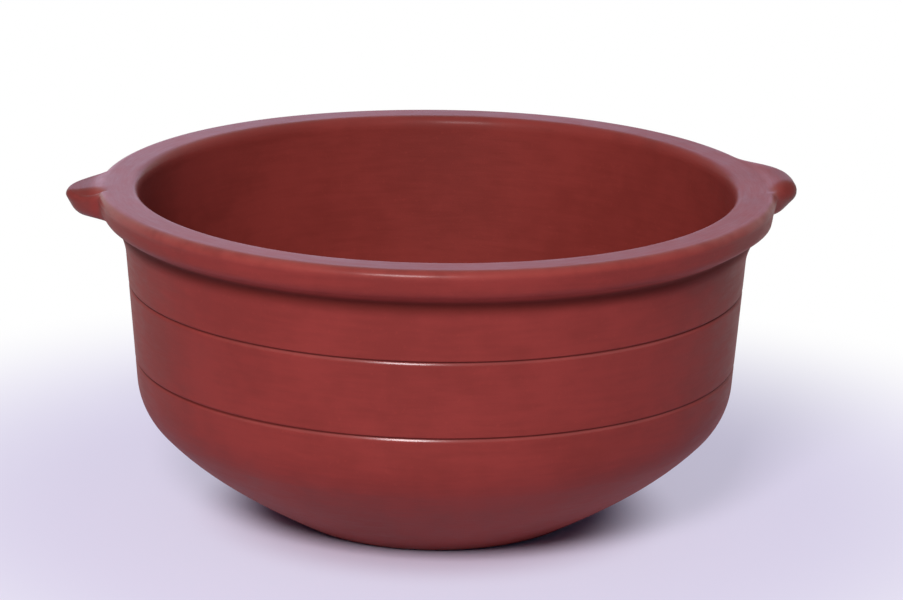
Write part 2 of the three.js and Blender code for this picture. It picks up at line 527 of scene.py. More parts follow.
@dataclass(frozen=True)
class LugShape:
    """Form of a pinched lug and of the web smeared under it, in millimetres."""

    side: Side
    nose_radius: float
    nose_droop: float
    undercut: float
    crest_fullness: float
    heel_fullness: float
    nose_depth: float
    nose_heel: float
    bluntness: float
    heel_stretch: float
    crest_stretch: float
    back_stretch: float
    front_drop: float
    web_foot: float
    web_overhang: float
    web_hang: float
    web_fullness: float
    half_width: float = 30.0
    web_half_angle: float = math.radians(32)
    web_steps: int = 60

    @property
    def node(self) -> str:
        """The name of the lug's node in the frame."""
        return f"{self.side.name.lower()}_lug"

    def reach(self, section: Section) -> float:
        """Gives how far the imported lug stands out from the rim."""
        low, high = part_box(self.node)
        return max(high.x, -low.x) / MM - section.rim_radius

    def turns(self, angles: Grid) -> Grid:
        """Gives how far each angle lies from the lug's middle, from minus to plus half a turn."""
        return (angles - self.side.value + math.pi) % FULL_TURN - math.pi

    def spread(self, section: Section) -> float:
        """Gives the angle from the lug's middle to its end."""
        return self.half_width / section.rim_radius

    def web_crest(self, section: Section) -> Vector:
        """Gives the point at the lug's middle where the full web meets the lug."""
        return at(section.neck.x + self.web_overhang, section.height - self.web_hang)

    def shares(self, section: Section, angles: Grid, front_stretch: float) -> Grid:
        """Measures how far angles lie between the lug's rounded middle and its ends.

        Args:
            section: Half section of the plain pot.
            angles: Angles about the pot's axis.
            front_stretch: Length of the lug's front half, as a share of its half width.

        Returns:
            0 at the lug's middle, 1 at its ends and more beyond them.
        """
        turns = np.abs(self.turns(angles))
        widths = np.where(np.sin(angles) > 0, self.back_stretch, front_stretch) * self.spread(section)
        blunt = self.bluntness
        return (np.hypot(turns / widths, blunt) - blunt) / (math.hypot(1, blunt) - blunt)

    def web_skin(self, section: Section, plain: Grid, low: int) -> Grid:
        """Shapes the full web.

        Args:
            section: Half section of the plain pot.
            plain: Plain rows from the web's foot to the end of the rim's heel.
            low: Number of the row at which the lug's underside starts.

        Returns:
            The same rows on the full web.
        """
        foot = section.outside(section.neck.y - self.web_foot)
        under = grid_of(bend(at(*plain[0]), foot, self.web_crest(section), self.web_steps))
        lengths = np.linalg.norm(np.diff(plain[: low + 1], axis=0), axis=1)
        share = np.concatenate([[0], np.cumsum(lengths)]) / lengths.sum()
        places = np.linspace(0, 1, len(under))
        skin = plain.copy()
        for axis in range(plain.shape[1]):
            skin[: low + 1, axis] = np.interp(share, places, under[:, axis])
        rise = np.linspace(0, 1, len(plain) - low)[:, None]
        skin[low:] = skin[low] * (1 - rise) + plain[-1] * rise
        return skin

    def nose_rows(self, section: Section) -> Grid:
        """Shapes the lug's nose at its middle.

        Args:
            section: Half section of the plain pot.

        Returns:
            One point for each row from the heel to the top of the tip.
        """
        steps = section.steps
        tip_centre = at(
            section.rim_radius + self.reach(section) - self.nose_radius,
            section.height - self.nose_droop - self.nose_radius,
        )
        tip = arc(tip_centre, self.nose_radius, -self.undercut, QUARTER_TURN, steps.rim_edge)
        underside = section.height - self.nose_depth
        corner = at(tip[0].x - (tip[0].y - underside) * math.tan(self.undercut), underside)
        heel = eased(self.web_crest(section), corner, tip[0], self.nose_heel, steps.rim_heel)
        face = line(heel[-1], tip[0], steps.rim_face)
        return grid_of([*heel, *face[1:], *tip[1:]])


RIGHT_LUG = LugShape(
    side=Side.RIGHT,
    nose_radius=4.2,
    nose_droop=-2.2,
    undercut=math.radians(45),
    crest_fullness=1.0,
    heel_fullness=1.0,
    nose_depth=12.2,
    nose_heel=5.5,
    bluntness=0.29,
    heel_stretch=0.45,
    crest_stretch=0.5,
    back_stretch=1.5,
    front_drop=1.3,
    web_foot=4.4,
    web_overhang=8.5,
    web_hang=11.7,
    web_fullness=1.0,
)
LEFT_LUG = LugShape(
    side=Side.LEFT,
    nose_radius=1.9,
    nose_droop=1.4,
    undercut=math.radians(28.5),
    crest_fullness=1.0,
    heel_fullness=0.0,
    nose_depth=11.0,
    nose_heel=3.8,
    bluntness=0.26,
    heel_stretch=0.45,
    crest_stretch=0.33,
    back_stretch=0.83,
    front_drop=2.2,
    web_foot=4.0,
    web_overhang=6.0,
    web_hang=12.3,
    web_fullness=0.0,
)


@dataclass(frozen=True)
class Columns:
    """Numbers of columns: from a lug's middle to its end, on to its web's end, and to the next web."""

    lug: int = 19
    web: int = 15
    gap: int = 66


class Skin:
    """The pot's surface as rows round the axis: plain, full with lugs and webs, and at the lugs' seats."""

    def __init__(self, section: Section, lugs: Sequence[LugShape]) -> None:
        """Works out the three layers and the normals of the full one.

        Args:
            section: Half section of the plain pot.
            lugs: The right lug, then the left one.
        """
        self.section = section
        self.profile = section.profile()
        self.lug_columns: dict[Side, slice] = {}
        self.web_columns: dict[Side, slice] = {}
        self.angles = self._spread_columns(lugs, Columns())
        plain = self._plain_rows()
        full, seat = plain.copy(), plain.copy()
        for lug in lugs:
            self._grow_web(lug, full)
            self._grow_nose(lug, full)
        self._round_top(full)
        self._sink(seat)
        self.plain, self.full, self.seat = (self._turn(layer) for layer in (plain, full, seat))
        self.normals = self._normals(self.full)
        self._bed_webs()

    def row(self, mark: Mark) -> int:
        """Gives the number of a marked row."""
        return self.profile.marks[mark]

    def _spread_columns(self, lugs: Sequence[LugShape], columns: Columns) -> Grid:
        """Spaces the columns, closer at the lugs, and notes which ones the lugs and webs take.

        Args:
            lugs: The right lug, then the left one.
            columns: Numbers of columns.

        Returns:
            The angle of each column, the last a full turn after the first.
        """
        angles: list[float] = []
        for lug, following in zip(lugs, [*lugs[1:], lugs[0]]):
            spread, half = lug.spread(self.section), lug.web_half_angle
            near = np.linspace(0, spread, columns.lug)
            far = np.linspace(spread, half, columns.web)[1:]
            turns = np.concatenate([-far[::-1], -near[:0:-1], near, far])
            start = len(angles)
            angles.extend(lug.side.value + turns)
            self.web_columns[lug.side] = slice(start, start + len(turns))
            self.lug_columns[lug.side] = slice(start + len(far), start + len(turns) - len(far))
            gap_end = following.side.value - following.web_half_angle
            if gap_end < angles[-1]:
                gap_end += FULL_TURN
            angles.extend(np.linspace(angles[-1], gap_end, columns.gap)[1:-1])
        angles.append(angles[0] + FULL_TURN)
        return np.array(angles)

    def _plain_rows(self) -> Grid:
        """Turns the half section and adds the cut lines and the slight wobble of a hand-made pot.

        Returns:
            Radius and height by row and column.
        """
        section = self.section
        points = grid_of(self.profile.points)
        rows = np.repeat(points[:, None, :], len(self.angles), axis=1)
        angles = self.angles[None, :]
        outer = np.arange(len(points))[:, None] < self.row(Mark.NECK)
        for cut in (section.lower_line, section.upper_line):
            rise = points[:, None, 1] - cut.height
            reach = np.where(rise > 0, section.groove_above, section.groove_below)
            depth = section.groove_depth * cut.strength(angles) * np.exp(-((rise / reach) ** 2))
            sway = cut.drift(angles) * np.exp(-((rise / section.sway_reach) ** 2))
            rows[:, :, 0] -= np.where(outer, depth, 0)
            rows[:, :, 1] += np.where(outer, sway, 0)
        size = np.clip(points[:, None, 0] / section.rim_radius, 0, 1)
        lift = np.clip(points[:, None, 1] / section.height, 0, 1)
        outward, upward = section.wobble.moves(size, lift, angles)
        rows[:, :, 0] += outward
        rows[:, :, 1] += upward
        return rows

    def _grow_web(self, lug: LugShape, full: Grid) -> None:
        """Grows a lug's web out of the plain surface.

        Args:
            lug: The lug that the web is under.
            full: Rows that are changed.
        """
        rows = self.profile.rows(Mark.WEB_LOW, Mark.HEEL_END)
        plain = grid_of(self.profile.points)[rows]
        low = self.row(Mark.LUG_LOW) - self.row(Mark.WEB_LOW)
        web = lug.web_skin(self.section, plain, low) - plain
        share = smooth_fall(np.abs(lug.turns(self.angles)) / lug.web_half_angle, lug.web_fullness)
        full[rows] += web[:, None, :] * share[None, :, None]

    def _grow_nose(self, lug: LugShape, full: Grid) -> None:
        """Grows a lug out of the rim's edge, sloping down to the front from its ridge.

        Args:
            lug: The lug to grow.
            full: Rows that are changed.
        """
        nose = lug.nose_rows(self.section)
        fullness = np.linspace(lug.heel_fullness, lug.crest_fullness, len(nose))
        stretches = np.linspace(lug.heel_stretch, lug.crest_stretch, len(nose))
        slopes = lug.front_drop * (nose[:, 1] - nose[0, 1]) / (nose[-1, 1] - nose[0, 1])
        in_front = np.sin(self.angles) < 0
        rows = range(self.row(Mark.LUG_LOW) + 1, self.row(Mark.EDGE_END) + 1)
        for row, target, roundness, stretch, slope in zip(rows, nose, fullness, stretches, slopes):
            growth = smooth_fall(lug.shares(self.section, self.angles, stretch), roundness)
            full[row] += (target - full[row]) * growth[:, None]
            full[row, :, 1] -= np.where(in_front, hump(growth), 0) * slope

    def _round_top(self, full: Grid) -> None:
        """Rounds the top from the outer edge to the lugs' seats.

        Args:
            full: Rows that are changed.
        """
        rows = self.profile.rows(Mark.EDGE_END, Mark.LUG_TOP)
        inward = np.linspace(0, 1, rows.stop - rows.start)[:, None]
        crest, seat = full[rows.start], full[rows.stop - 1]
        full[rows, :, 0] = crest[:, 0] + (seat[:, 0] - crest[:, 0]) * inward
        full[rows, :, 1] = seat[:, 1] + (crest[:, 1] - seat[:, 1]) * smooth_fall(inward, fullness=1.0)

    def _sink(self, seat: Grid) -> None:
        """Sinks the rows between the lugs' lowest and highest rows to the upright wall of their seats.

        Args:
            seat: Rows that are changed.
        """
        rows = self.profile.rows(Mark.LUG_LOW, Mark.LUG_TOP)
        share = np.linspace(0, 1, rows.stop - rows.start)[:, None, None]
        seat[rows] = seat[rows.start] * (1 - share) + seat[rows.stop - 1] * share

    def _turn(self, layer: Grid) -> Grid:
        """Stands the half sections of a layer at their angles.

        Args:
            layer: Radius and height by row and column, in millimetres.

        Returns:
            Places by row and column, in metres.
        """
        radius, height = layer[:, :, 0], layer[:, :, 1]
        places = (radius * np.cos(self.angles), radius * np.sin(self.angles), height)
        turned = np.stack(places, axis=-1) * MM
        turned[:, -1] = turned[:, 0]
        return turned

    def _bed_webs(self) -> None:
        """Sinks the plain surface a little behind each web, so that the two lie clear of each other."""
        normals = self._normals(self.plain)
        rows = slice(self.row(Mark.WEB_LOW) + 1, self.row(Mark.LUG_LOW))
        for columns in self.web_columns.values():
            behind = slice(columns.start + 1, columns.stop - 1)
            self.plain[rows, behind] -= normals[rows, behind] * self.section.web_bed * MM

    @staticmethod
    def _normals(points: Grid) -> Grid:
        """Works out smooth normals, the sum of the faces that meet at each point.

        Args:
            points: Places by row and column.

        Returns:
            One normal for each place.
        """
        across = points[1:, 1:] - points[:-1, :-1]
        back = points[1:, :-1] - points[:-1, 1:]
        faces = np.cross(across, back)
        normals = np.zeros_like(points)
        for rows in (slice(None, -1), slice(1, None)):
            for columns in (slice(None, -1), slice(1, None)):
                normals[rows, columns] += faces
        seam = normals[:, 0] + normals[:, -1]
        normals[:, 0] = seam
        normals[:, -1] = seam
        for pole in (0, -1):
            normals[pole] = normals[pole].sum(axis=0)
        return normals / np.linalg.norm(normals, axis=-1, keepdims=True)


class ClayMesh:
    """Closed mesh of one clay piece, gathered from patches that share the points along their edges."""

    def __init__(self) -> None:
        """Starts with no faces."""
        self._numbers: dict[tuple[int, ...], int] = {}
        self._points: list[Grid] = []
        self._faces: dict[frozenset[int], tuple[list[int], list[Grid]]] = {}

    def _number(self, point: Grid) -> int:
        """Numbers a point, and keeps points at one place as one.

        Args:
            point: The point's place.

        Returns:
            Its number.
        """
        key = tuple(int(value) for value in np.round(point * PLACES_TO_A_METRE))
        if key not in self._numbers:
            self._numbers[key] = len(self._points)
            self._points.append(point)
        return self._numbers[key]

    def patch(self, points: Grid, normals: Grid | None = None, flip: bool = False) -> None:
        """Adds a patch of rows and columns that faces out of the clay.

        Args:
            points: Points by row, column and axis.
            normals: Smooth normals of the points, or none for a hidden face with its own flat normals.
            flip: Turns the patch to face the other way.
        """
        numbers = np.array([[self._number(point) for point in row] for row in points])
        rows, columns = numbers.shape
        for row in range(rows - 1):
            for column in range(columns - 1):
                near, far = (row, column), (row + 1, column + 1)
                for corners in ((near, (row, column + 1), far), (near, far, (row + 1, column))):
                    self._face(corners[::-1] if flip else corners, numbers, points, normals)

    def _face(self, corners: Sequence[Place], numbers: Grid, points: Grid, normals: Grid | None) -> None:
        """Adds a triangle, or takes away one that would lie back to back with it.

        Args:
            corners: Rows and columns of its corners.
            numbers: Numbers of the patch's points.
            points: The patch's points.
            normals: Their smooth normals, or none for a flat face.
        """
        face = [int(numbers[corner]) for corner in corners]
        key = frozenset(face)
        if len(key) < len(face) or self._faces.pop(key, None):
            return
        if normals is None:
            first, second, third = (points[corner] for corner in corners)
            flat = np.cross(second - first, third - first)
            facing = [flat / (np.linalg.norm(flat) or 1.0)] * len(face)
        else:
            facing = [normals[corner] for corner in corners]
        self._faces[key] = (face, facing)

    def piece(self, name: str, material: bpy.types.Material) -> bpy.types.Object:
        """Makes the Blender object.

        Args:
            name: Name of the piece.
            material: Its finish.

        Returns:
            The object, linked to the scene.
        """
        points = [tuple(point) for point in self._points]
        mesh = bpy.data.meshes.new(name)
        mesh.from_pydata(points, [], [face for face, _ in self._faces.values()])
        mesh.shade_smooth()
        mesh.normals_split_custom_set([tuple(way) for _, facing in self._faces.values() for way in facing])
        mesh.materials.append(material)
        piece = bpy.data.objects.new(name, mesh)
        bpy.context.scene.collection.objects.link(piece)
        return piece


class Value:
    """A shader socket that can be used in sums."""

    def __init__(self, shader: Shader, socket: bpy.types.NodeSocket) -> None:
        """Wraps a socket of a shader."""
        self.shader = shader
        self.socket = socket

    def __add__(self, other: Value | float) -> Value:
        """Adds."""
        return self.shader.maths("ADD", self, other)

    def __radd__(self, other: float) -> Value:
        """Adds to a number."""
        return self.shader.maths("ADD", other, self)

    def __sub__(self, other: Value | float) -> Value:
        """Takes away."""
        return self.shader.maths("SUBTRACT", self, other)

    def __rsub__(self, other: float) -> Value:
        """Takes away from a number."""
        return self.shader.maths("SUBTRACT", other, self)

    def __mul__(self, other: Value | float) -> Value:
        """Multiplies."""
        return self.shader.maths("MULTIPLY", self, other)

    def __rmul__(self, other: float) -> Value:
        """Multiplies a number."""
        return self.shader.maths("MULTIPLY", other, self)

    def __truediv__(self, other: Value | float) -> Value:
        """Divides."""
        return self.shader.maths("DIVIDE", self, other)

    def __rtruediv__(self, other: float) -> Value:
        """Divides a number."""
        return self.shader.maths("DIVIDE", other, self)

    def __pow__(self, power: float) -> Value:
        """Raises to a power."""
        return self.shader.maths("POWER", self, power)

    def __abs__(self) -> Value:
        """Drops the sign."""
        return self.shader.maths("ABSOLUTE", self, 0.0)


class Shader:
    """Node tree of one material or of the room, with the few nodes that the finishes need."""

    def __init__(self, owner: bpy.types.Material | bpy.types.World) -> None:
        """Empties the tree of a material or of the room.

        Args:
            owner: The material, or the room.
        """
        self.owner = owner
        owner.use_nodes = True
        self.tree = owner.node_tree
        self.tree.nodes.clear()

    def node(self, kind: str, settings: dict[str, object], inputs: dict[str | int, object]) -> bpy.types.Node:
        """Adds a node.

        Args:
            kind: Blender's type of node.
            settings: Its own settings, which are set first.
            inputs: Values or links of its sockets, by name or number.

        Returns:
            The node.
        """
        node = self.tree.nodes.new(kind)
        for name, setting in settings.items():
            setattr(node, name, setting)
        for name, value in inputs.items():
            if isinstance(value, Value):
                self.tree.links.new(value.socket, node.inputs[name])
            else:
                node.inputs[name].default_value = value
        return node

    def value(self, node: bpy.types.Node, output: str | int = 0) -> Value:
        """Wraps an output of a node."""
        return Value(self, node.outputs[output])

    def maths(self, operation: str, first: Value | float, second: Value | float) -> Value:
        """Adds a Math node for one step of a sum."""
        return self.value(self.node("ShaderNodeMath", {"operation": operation}, {0: first, 1: second}))

    def distance(self, across: Value, along: Value) -> Value:
        """Gives the length of a step that has two parts."""
        return (across * across + along * along) ** SQUARE_ROOT

    def place(self, output: str = "Object") -> Value:
        """Gives the place on the object, in metres, or the direction into the room."""
        return self.value(self.node("ShaderNodeTexCoord", {}, {}), output)

    def parts(self, vector: Value) -> tuple[Value, Value, Value]:
        """Splits a vector into its three numbers."""
        node = self.node("ShaderNodeSeparateXYZ", {}, {0: vector})
        return self.value(node, 0), self.value(node, 1), self.value(node, 2)

    def vector(self, x: Value | float, y: Value | float, z: Value | float) -> Value:
        """Makes a vector of three numbers."""
        return self.value(self.node("ShaderNodeCombineXYZ", {}, {0: x, 1: y, 2: z}))

    def noise(self, vector: Value, scale: float, detail: float) -> Value:
        """Gives cloudy noise from 0 to 1 at a number of clouds to the metre."""
        inputs = {"Vector": vector, "Scale": scale, "Detail": detail, "Roughness": NOISE_ROUGHNESS}
        return self.value(self.node("ShaderNodeTexNoise", {}, inputs), 0)

    def between(self, value: Value, low: float, high: float) -> Value:
        """Rises smoothly from 0 to 1.

        Args:
            value: What the rise follows.
            low: Where it is 0.
            high: Where it is 1, which may be less than the low end.

        Returns:
            The rise.
        """
        settings = {"interpolation_type": "SMOOTHSTEP"}
        inputs = {"Value": value, "From Min": low, "From Max": high, "To Min": 0.0, "To Max": 1.0}
        return self.value(self.node("ShaderNodeMapRange", settings, inputs))

    def between_mm(self, value: Value, low: float, high: float) -> Value:
        """Rises smoothly from 0 to 1 between two lengths in millimetres."""
        return self.between(value, low * MM, high * MM)

    def blend(self, share: Value | float, first: Value | Colour, second: Value | Colour) -> Value:
        """Mixes two colours.

        Args:
            share: How much of the second colour is in the mixture.
            first: First colour.
            second: Second colour.

        Returns:
            The mixture.
        """
        inputs: dict[str | int, object] = {0: share}
        for number, colour in zip(MIX_COLOURS, (first, second)):
            inputs[number] = colour if isinstance(colour, Value) else (*colour, 1.0)
        return self.value(self.node("ShaderNodeMix", {"data_type": "RGBA"}, inputs), MIX_RESULT)

    def seen(self) -> Value:
        """Tells looks from light.

        Returns:
            1 where the camera or a reflection looks, and 0 for the light that falls on things.
        """
        path = self.node("ShaderNodeLightPath", {}, {})
        looks = self.value(path, "Is Camera Ray") + self.value(path, "Is Glossy Ray")
        return self.maths("MINIMUM", looks + self.value(path, "Is Transmission Ray"), 1.0)

    def finish(self, surface: Value) -> bpy.types.Material | bpy.types.World:
        """Sends a surface to the output.

        Args:
            surface: What the material or the room looks like.

        Returns:
            The material, or the room.
        """
        world = isinstance(self.owner, bpy.types.World)
        self.node("ShaderNodeOutputWorld" if world else "ShaderNodeOutputMaterial", {}, {"Surface": surface})
        return self.owner


@dataclass(frozen=True)
class Spot:
    """Where a point of the clay lies, in metres, and in which directions from the axis."""

    place: Value
    z: Value
    radius: Value
    rightward: Value
    backward: Value

    @classmethod
    def read(cls, shader: Shader) -> Spot:
        """Reads the place of a point.

        Args:
            shader: The material's shader.

        Returns:
            The place and what follows from it.
        """
        place = shader.place()
        x, y, z = shader.parts(place)
        radius = shader.distance(x, y)
        return cls(place, z, radius, x / radius, y / radius)


@dataclass(frozen=True)
class Streaks:
    """Rubbing marks round the pot: their fineness along the turn, and their number to a metre across."""

    along: float
    across: float
    detail: float = 2.0

    def noise(self, shader: Shader, spot: Spot) -> Value:
        """Gives the streaks from 0 to 1.

        Args:
            shader: The material's shader.
            spot: Where the point lies.

        Returns:
            The streaks.
        """
        across = (spot.z + spot.radius) * self.across
        stretched = shader.vector(spot.rightward * self.along, spot.backward * self.along, across)
        return shader.noise(stretched, scale=1.0, detail=self.detail)


@dataclass(frozen=True)
class Speckle:
    """Cloudy noise: its number of clouds to the metre, and how finely they are broken up."""

    scale: float
    detail: float

    def noise(self, shader: Shader, spot: Spot) -> Value:
        """Gives the clouds from 0 to 1."""
        return shader.noise(spot.place, self.scale, self.detail)


@dataclass(frozen=True)
class Wear:
    """Parts of the pot that rubbing misses or hands reach, and the parts darkened by painted shade, in
    millimetres.
    """

    section: Section
    neck_reach: Span = (6.0, 0.5)
    line_reach: float = 0.6
    line_core: float = 0.2
    line_depth: Span = (8.0, 7.0)
    lip_drop: float = 0.75
    lip_reach: float = 0.7
    lip_front: Span = (0.55, 0.9)
    rim_depth: Span = (5.0, 0.0)
    rim_start: Span = (-3.0, 2.0)
    edge_inset: float = 0.9
    edge_reach: Span = (3.0, 0.5)
    lug_reach: Span = (0.5, 4.5)

    def _from(self, shader: Shader, spot: Spot, point: Vector) -> Value:
        """Gives the distance from a point of the half section."""
        return shader.distance(spot.radius - point.x * MM, spot.z - point.y * MM)

    def _lines(self, shader: Shader, spot: Spot, drop: float, reach: float) -> Value:
        """Marks a band along each of the two cut lines.

        Args:
            shader: The material's shader.
            spot: Where the point lies.
            drop: How far the band lies below the middle of the line.
            reach: Half the width of the band.

        Returns:
            1 in the middle of the band, and 0 away from it.
        """
        section = self.section
        start, end = (section.neck.x - depth for depth in self.line_depth)
        lower, upper = (
            shader.between_mm(abs(spot.z - (cut.height - drop) * MM), reach, self.line_core * reach)
            for cut in (section.lower_line, section.upper_line)
        )
        return (lower + upper) * shader.between_mm(spot.radius, start, end)

    def dull_and_shaded(self, shader: Shader, spot: Spot) -> Value:
        """Marks the cut lines and the neck crease, which rubbing doesn't reach and which painted shade
        darkens.
        """
        near_neck = shader.between_mm(self._from(shader, spot, self.section.neck), *self.neck_reach)
        return shader.maths("MINIMUM", self._lines(shader, spot, 0.0, self.line_reach) + near_neck, 1.0)

    def lips(self, shader: Shader, spot: Spot) -> Value:
        """Marks the lower lips of the cut lines at the front, which rubbing polishes."""
        front = shader.between(0.0 - spot.backward, *self.lip_front)
        return self._lines(shader, spot, self.lip_drop, self.lip_reach) * front

    def rubbed(self, shader: Shader, spot: Spot) -> Value:
        """Marks the rim's top, which is rubbed smoother than the rest.

        Args:
            shader: The material's shader.
            spot: Where the point lies.

        Returns:
            1 on the rim's top, and 0 away from it.
        """
        section = self.section
        low, high = (section.height - depth for depth in self.rim_depth)
        start, end = (section.inside(section.height).x + inset for inset in self.rim_start)
        return shader.between_mm(spot.z, low, high) * shader.between_mm(spot.radius, start, end)

    def worn(self, shader: Shader, spot: Spot) -> Value:
        """Marks the rim's outer edge, which hands rub."""
        edge = at(self.section.rim_radius - self.edge_inset, self.section.height - self.edge_inset)
        return shader.between_mm(self._from(shader, spot, edge), *self.edge_reach)

    def lug_mask(self, shader: Shader, spot: Spot) -> Value:
        """Marks the lugs, which painted shade darkens."""
        start, end = (self.section.rim_radius + reach for reach in self.lug_reach)
        return shader.between_mm(spot.radius, start, end)


@dataclass(frozen=True)
class Patterns:
    """What varies over the clay, each from 0 to 1."""

    streaks: Value
    fine_streaks: Value
    clouds: Value
    blotches: Value
    grain: Value
    specks: Value
    dull_and_shaded: Value
    lips: Value
    rubbed: Value
    worn: Value
    lug_mask: Value


@dataclass(frozen=True)
class ClayFinish:
    """Red slip over terracotta, rubbed to a low sheen while leather hard."""

    name: str
    slot: str
    deep: Colour
    warm: Colour
    pale: Colour
    # Colour of the painted shade in the cut lines, the neck crease and on the lugs.
    painted_shade: Colour
    roughness: float
    grain_height: float
    streaks: Streaks = Streaks(along=7.0, across=420.0)
    fine_streaks: Streaks = Streaks(along=16.0, across=1300.0)
    clouds: Speckle = Speckle(scale=24.0, detail=3.0)
    blotches: Speckle = Speckle(scale=110.0, detail=2.0)
    grain: Speckle = Speckle(scale=1500.0, detail=2.0)
    specks: Speckle = Speckle(scale=620.0, detail=1.0)
    speck_span: Span = (0.66, 0.74)
    worn_span: Span = (0.25, 0.65)
    tone_span: Span = (0.36, 0.64)
    cloud_tone: float = 0.55
    blotch_tone: float = 0.2
    streak_tone: float = 0.25
    worn_paleness: float = 0.3
    speck_paleness: float = 0.12
    # Shares of painted shade: in the cut lines and the neck crease, and on the lugs.
    painted_groove_shade: float = 0.8
    painted_lug_shade: float = 0.35
    middle: float = 0.5
    streak_rubbing: float = 0.16
    fine_rubbing: float = 0.12
    blotch_rubbing: float = 0.12
    dull_roughness: float = 0.2
    rubbed_smoothness: float = 0.1
    worn_smoothness: float = 0.1
    lip_smoothness: float = 0.26
    rubbed_sheen: float = 0.18
    rightward_loss: float = 0.10
    handled_loss: float = 0.6
    worn_sheen: float = 0.12
    lip_sheen: float = 0.5
    handled_sheen: float = 0.25
    coat_roughness: float = 0.22
    specular_level: float = 0.10
    grain_relief: float = 0.35
    fine_relief: float = 0.4
    streak_relief: float = 0.5
    speck_relief: float = 0.1
    bump_strength: float = 0.5

    def material(self, section: Section) -> bpy.types.Material:
        """Builds the material: mottled slip, rubbing streaks, grog specks, worn edges, dull grooves, and
        painted shade in the cut lines, the neck crease and on the lugs.

        Args:
            section: Half section of the plain pot.

        Returns:
            The material.
        """
        shader = Shader(bpy.data.materials.new(self.name))
        spot = Spot.read(shader)
        patterns = self._patterns(shader, spot, Wear(section))
        surface = shader.node(
            "ShaderNodeBsdfPrincipled",
            {},
            {
                "Base Color": self._colour(shader, patterns),
                "Roughness": self._roughness(patterns),
                "Normal": self._relief(shader, patterns),
                "Coat Weight": self._sheen(spot, patterns),
                "Coat Roughness": self.coat_roughness,
                "Specular IOR Level": self.specular_level,
            },
        )
        return shader.finish(shader.value(surface))

    def _patterns(self, shader: Shader, spot: Spot, wear: Wear) -> Patterns:
        """Lays out what varies over the clay.

        Args:
            shader: The material's shader.
            spot: Where the point lies.
            wear: Parts that rubbing misses or hands reach.

        Returns:
            The patterns.
        """
        blotches = self.blotches.noise(shader, spot)
        return Patterns(
            streaks=self.streaks.noise(shader, spot),
            fine_streaks=self.fine_streaks.noise(shader, spot),
            clouds=self.clouds.noise(shader, spot),
            blotches=blotches,
            grain=self.grain.noise(shader, spot),
            specks=shader.between(self.specks.noise(shader, spot), *self.speck_span),
            dull_and_shaded=wear.dull_and_shaded(shader, spot),
            lips=wear.lips(shader, spot),
            rubbed=wear.rubbed(shader, spot),
            worn=wear.worn(shader, spot) * shader.between(blotches, *self.worn_span),
            lug_mask=wear.lug_mask(shader, spot),
        )

    def _colour(self, shader: Shader, on: Patterns) -> Value:
        """Mixes the colour of the slip, with painted shade in the cut lines, the neck crease and on the lugs.

        Args:
            shader: The material's shader.
            on: What varies over the clay.

        Returns:
            The colour.
        """
        tone = on.clouds * self.cloud_tone + on.blotches * self.blotch_tone + on.streaks * self.streak_tone
        colour = shader.blend(shader.between(tone, *self.tone_span), self.deep, self.warm)
        colour = shader.blend(on.worn * self.worn_paleness, colour, self.pale)
        colour = shader.blend(on.specks * self.speck_paleness, colour, self.pale)
        # Painted shade: darkens the cut lines and the neck crease under the rim, then the lugs.
        colour = shader.blend(on.dull_and_shaded * self.painted_groove_shade, colour, self.painted_shade)
        return shader.blend(on.lug_mask * self.painted_lug_shade, colour, self.painted_shade)

    def _roughness(self, on: Patterns) -> Value:
        """Roughens the clay along the streaks and in the grooves, and smooths what is rubbed.

        Args:
            on: What varies over the clay.

        Returns:
            The roughness.
        """
        rubbing = (
            (on.streaks - self.middle) * self.streak_rubbing
            + (on.fine_streaks - self.middle) * self.fine_rubbing
            + (on.blotches - self.middle) * self.blotch_rubbing
        )
        smoothed = (
            on.rubbed * self.rubbed_smoothness
            + on.worn * self.worn_smoothness
            + on.lips * self.lip_smoothness
        )
        return self.roughness + rubbing + on.dull_and_shaded * self.dull_roughness - smoothed

    def _sheen(self, spot: Spot, on: Patterns) -> Value:
        """Polishes the rim's top, its edge, the lips of the cut lines and the lugs.

        Args:
            spot: Where the point lies.
            on: What varies over the clay.

        Returns:
            The weight of the coat.
        """
        top = on.rubbed * (self.rubbed_sheen - spot.rightward * self.rightward_loss)
        lugs = on.lug_mask * (1.0 - on.rubbed) * self.handled_sheen
        edges = on.worn * self.worn_sheen + on.lips * self.lip_sheen
        return top * (1.0 - on.lug_mask * self.handled_loss) + edges + lugs

    def _relief(self, shader: Shader, on: Patterns) -> Value:
        """Raises the grain and the streaks.

        Args:
            shader: The material's shader.
            on: What varies over the clay.

        Returns:
            The normal.
        """
        streaks = on.fine_streaks * self.fine_relief + on.streaks * self.streak_relief
        height = on.grain * self.grain_relief + streaks - on.specks * self.speck_relief
        inputs = {"Strength": self.bump_strength, "Distance": self.grain_height * MM, "Height": height}
        return shader.value(shader.node("ShaderNodeBump", {}, inputs))


BURNISHED = ClayFinish(
    name="burnished_red_clay",
    slot="burnished_clay",
    deep=(0.214, 0.031, 0.025),
    warm=(0.260, 0.038, 0.031),
    pale=(0.36, 0.055, 0.042),
    # Painted shade colour for the cut lines, the neck crease and the lugs.
    painted_shade=(0.075, 0.009, 0.006),
    roughness=0.54,
    grain_height=0.12,
)
SMOOTHED = ClayFinish(
    name="smoothed_red_clay",
    slot="floor_clay",
    deep=(0.20, 0.025, 0.019),
    warm=(0.25, 0.033, 0.026),
    pale=(0.34, 0.058, 0.044),
    # Painted shade colour for the cut lines, the neck crease and the lugs.
    painted_shade=(0.075, 0.009, 0.006),
    roughness=0.60,
    grain_height=0.18,
)


